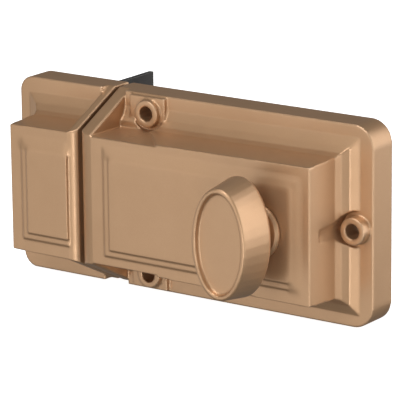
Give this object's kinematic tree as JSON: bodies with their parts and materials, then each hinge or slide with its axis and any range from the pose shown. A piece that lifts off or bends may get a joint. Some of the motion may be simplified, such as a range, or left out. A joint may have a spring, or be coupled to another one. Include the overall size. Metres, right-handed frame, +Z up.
{
  "type": "rim night latch",
  "caption": "Surface-mounted night latch with an oval turn knob, spring bolt and matching keeper, shown closed.",
  "frame": {"origin": "centre of the latch case's mounting face, on the outer face of its back plate, level with the knob's axis", "axes": "+X along the case, away from the keeper and the door edge; +Y out of the mounting face, into the door; +Z up"},
  "size_m": [0.1204, 0.0605, 0.057],
  "materials": {
    "bronze_paint": "satin metallic bronze paint on a zinc casting",
    "plated_steel": "zinc-plated steel",
    "dark_steel": "dark oxide-coated sheet steel",
    "brass": "plain machined brass"
  },
  "bodies": {
    "latch": {"latch_case": "bronze_paint", "knob_collar": "bronze_paint", "keeper": "bronze_paint", "back_plate": "plated_steel", "bolt_spring": "plated_steel", "spring_guide_pin": "plated_steel", "collar_retaining_ring": "plated_steel", "hub_thrust_washer": "brass", "strike_plate": "dark_steel", "back_plate_screw_1": "plated_steel", "back_plate_screw_2": "plated_steel", "back_plate_screw_3": "plated_steel", "back_plate_screw_4": "plated_steel", "strike_rivet_1": "plated_steel", "strike_rivet_2": "plated_steel"},
    "knob": {"knob": "bronze_paint", "knob_shank": "bronze_paint", "retractor_hub": "plated_steel", "hub_drive_pin": "plated_steel", "hub_cross_pin": "plated_steel"},
    "bolt": {"latch_bolt": "brass"}
  },
  "joints": [
    {"name": "knob_turn", "type": "hinge", "parent": "latch", "child": "knob", "pos_m": [0.0165, -0.03, 0], "axis": [0, 1, 0], "range_deg": [0, 60]},
    {"name": "bolt_slide", "type": "slide", "parent": "latch", "child": "bolt", "axis": [1, 0, 0], "range_m": [0, 0.012], "stiffness_N_per_m": 350, "springref_m": -0.012, "deforming": ["bolt_spring"]}
  ],
  "couplings": [
    {"joint": "knob_turn", "follows": "bolt_slide", "rad_per_m": 87.266}
  ]
}
